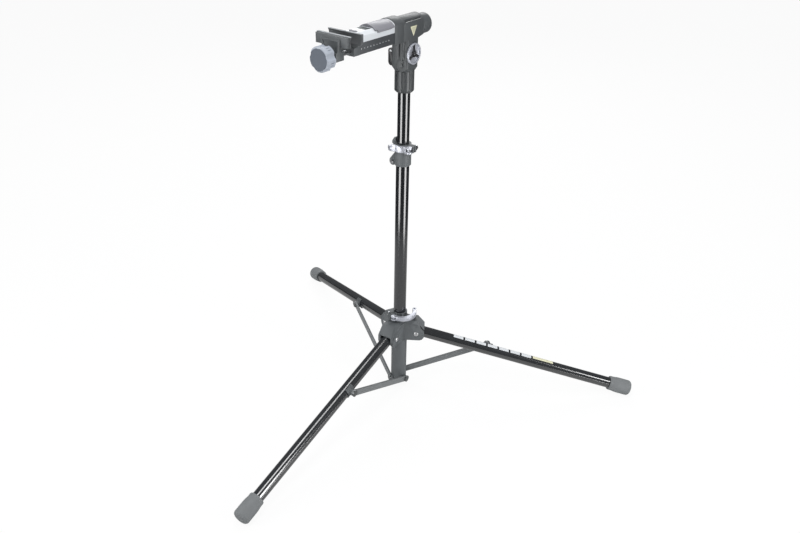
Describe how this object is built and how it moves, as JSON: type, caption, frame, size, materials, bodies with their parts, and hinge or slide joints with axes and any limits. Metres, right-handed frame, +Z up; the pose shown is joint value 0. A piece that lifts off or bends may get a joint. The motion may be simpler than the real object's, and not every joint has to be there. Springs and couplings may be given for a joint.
{
  "type": "bicycle repair stand",
  "caption": "Folding bicycle repair stand with tripod legs, telescoping black column and a swivelling clamp arm with built-in weighing scale",
  "frame": {"origin": "centre of the lower end face of the column, where its bottom plug ends", "axes": "+Z up along the column; the clamp arm points to -Y; +X is the side of the spoked tension wheel"},
  "size_m": [1.1059, 0.9995, 1.0002],
  "materials": {
    "tube_black": "glossy black anodised aluminium tube",
    "dark_plastic": "dark grey glass-filled nylon, lightly grained",
    "foot_rubber": "mid grey rubber",
    "strut_metal": "grey painted steel strip",
    "bolt_steel": "bright zinc-plated steel",
    "lever_silver": "silver anodised forging",
    "black_plastic": "black moulded plastic",
    "bush_plastic": "off-white bearing plastic",
    "bush_bronze": "sintered bronze bush",
    "scale_white": "off-white moulded plastic",
    "lid_grey": "violet-grey moulded plastic",
    "window_dark": "dark display window",
    "pad_rubber": "dark grey jaw rubber",
    "board_green": "green circuit board",
    "cell_jacket": "plain jacketed dry cells",
    "knob_grey": "light blue-grey moulded nylon"
  },
  "bodies": {
    "column": {"main_tube": "tube_black", "lower_sleeve": "dark_plastic", "bottom_plug": "dark_plastic", "strut_pins": "bolt_steel", "collar_body": "dark_plastic", "collar_bolt": "bolt_steel", "collar_skewer": "bolt_steel", "collar_washer": "black_plastic"},
    "collar_cam": {"collar_lever": "lever_silver"},
    "hub": {"hub_body": "dark_plastic", "hub_pins": "bolt_steel", "hub_skewer": "bolt_steel"},
    "hub_cam": {"hub_lever": "lever_silver"},
    "leg_front": {"leg_tube_front": "tube_black", "leg_eye_front": "dark_plastic", "foot_front": "foot_rubber", "leg_bracket_front": "dark_plastic"},
    "strut_link_front": {"strut_front": "strut_metal", "strut_bolt_front": "bolt_steel"},
    "leg_right": {"leg_tube_right": "tube_black", "leg_eye_right": "dark_plastic", "foot_right": "foot_rubber", "leg_bracket_right": "dark_plastic"},
    "strut_link_right": {"strut_right": "strut_metal", "strut_bolt_right": "bolt_steel"},
    "leg_rear": {"leg_tube_rear": "tube_black", "leg_eye_rear": "dark_plastic", "foot_rear": "foot_rubber", "leg_bracket_rear": "dark_plastic"},
    "strut_link_rear": {"strut_rear": "strut_metal", "strut_bolt_rear": "bolt_steel"},
    "mast_bush": {"slide_bush": "bush_plastic"},
    "mast": {"upper_tube": "tube_black", "neck_sleeve": "dark_plastic", "head_housing": "dark_plastic", "rear_cap": "dark_plastic", "axle_bushes": "bush_bronze", "cross_bolt": "bolt_steel", "neck_screws": "bolt_steel"},
    "head_lever": {"lock_lever": "black_plastic"},
    "tension_wheel": {"tension_ring": "lever_silver", "tension_nut": "black_plastic"},
    "arm": {"bezel": "dark_plastic", "head_axle": "bolt_steel", "axle_retainer": "bolt_steel", "arm_beam": "tube_black", "guide_block": "dark_plastic", "scale_housing": "scale_white", "display_window": "window_dark", "rear_jaw": "dark_plastic", "rear_pad": "pad_rubber", "load_cell": "lever_silver", "circuit_board": "board_green", "batteries": "cell_jacket"},
    "lid": {"battery_lid": "lid_grey"},
    "button": {"scale_button": "lid_grey"},
    "front_jaw": {"jaw_carriage": "dark_plastic", "front_pad": "pad_rubber", "guide_rods": "bolt_steel"},
    "screw_knob": {"knob": "knob_grey"}
  },
  "joints": [
    {"name": "collar_cam_swing", "type": "hinge", "parent": "column", "child": "collar_cam", "pos_m": [0.028, -0.0139, 0.68175], "axis": [0, 0, 1], "range_deg": [0, 120]},
    {"name": "hub_slide", "type": "slide", "parent": "column", "child": "hub", "axis": [0, 0, 1], "range_m": [0, 0.2983]},
    {"name": "hub_cam_swing", "type": "hinge", "parent": "hub", "child": "hub_cam", "pos_m": [0.00366, -0.0306, 0.2163], "axis": [0, 0, -1], "range_deg": [0, 110]},
    {"name": "leg_front_fold", "type": "hinge", "parent": "hub", "child": "leg_front", "pos_m": [0.00317, -0.04539, 0.1646], "axis": [0.9976, 0.0698, 0], "range_deg": [0, 74.81]},
    {"name": "leg_right_fold", "type": "hinge", "parent": "hub", "child": "leg_right", "pos_m": [0.03772, 0.02544, 0.1646], "axis": [-0.5592, 0.829, 0], "range_deg": [0, 74.81]},
    {"name": "leg_rear_fold", "type": "hinge", "parent": "hub", "child": "leg_rear", "pos_m": [-0.0409, 0.01995, 0.1646], "axis": [-0.4384, -0.8988, 0], "range_deg": [0, 74.81]},
    {"name": "strut_front_swing", "type": "hinge", "parent": "column", "child": "strut_link_front", "pos_m": [0.0205, 0.00143, 0.0105], "axis": [-0.9976, -0.0698, 0], "range_deg": [0, 56.47]},
    {"name": "strut_right_swing", "type": "hinge", "parent": "column", "child": "strut_link_right", "pos_m": [-0.01149, 0.01704, 0.0105], "axis": [0.5592, -0.829, 0], "range_deg": [0, 56.47]},
    {"name": "strut_rear_swing", "type": "hinge", "parent": "column", "child": "strut_link_rear", "pos_m": [-0.00901, -0.01847, 0.0105], "axis": [0.4384, 0.8988, 0], "range_deg": [0, 56.47]},
    {"name": "mast_slide", "type": "slide", "parent": "column", "child": "mast_bush", "axis": [0, 0, 1], "range_m": [-0.105, 0.4]},
    {"name": "mast_turn", "type": "hinge", "parent": "mast_bush", "child": "mast", "pos_m": [0, 0, 0.2], "axis": [0, 0, 1], "continuous": true},
    {"name": "head_lever_swing", "type": "hinge", "parent": "mast", "child": "head_lever", "pos_m": [-0.0295, 0, 0.9046], "axis": [0, 1, 0], "range_deg": [0, 150]},
    {"name": "tension_wheel_spin", "type": "hinge", "parent": "mast", "child": "tension_wheel", "pos_m": [0.0228, 0, 0.9046], "axis": [1, 0, 0], "continuous": true},
    {"name": "head_spin", "type": "hinge", "parent": "mast", "child": "arm", "pos_m": [0, -0.035, 0.9575], "axis": [0, -1, 0], "continuous": true},
    {"name": "lid_lift", "type": "slide", "parent": "arm", "child": "lid", "axis": [0, 0, 1], "range_m": [0, 0.03]},
    {"name": "button_press", "type": "slide", "parent": "arm", "child": "button", "axis": [0, 0, -1], "range_m": [0, 0.0012], "stiffness_N_per_m": 500},
    {"name": "jaw_slide", "type": "slide", "parent": "arm", "child": "front_jaw", "axis": [0, -1, 0], "range_m": [-0.024, 0.035]},
    {"name": "knob_spin", "type": "hinge", "parent": "front_jaw", "child": "screw_knob", "pos_m": [0, -0.2575, 0.945], "axis": [0, -1, 0], "range_deg": [-2162, 3152]}
  ],
  "couplings": [
    {"joint": "knob_spin", "follows": "jaw_slide", "rad_per_m": 1570.8},
    {"joint": "leg_front_fold", "follows": "hub_slide", "rad_per_m": 4.3743},
    {"joint": "strut_front_swing", "follows": "hub_slide", "rad_per_m": 3.3008},
    {"joint": "leg_right_fold", "follows": "hub_slide", "rad_per_m": 4.3743},
    {"joint": "strut_right_swing", "follows": "hub_slide", "rad_per_m": 3.3008},
    {"joint": "leg_rear_fold", "follows": "hub_slide", "rad_per_m": 4.3743},
    {"joint": "strut_rear_swing", "follows": "hub_slide", "rad_per_m": 3.3008}
  ]
}
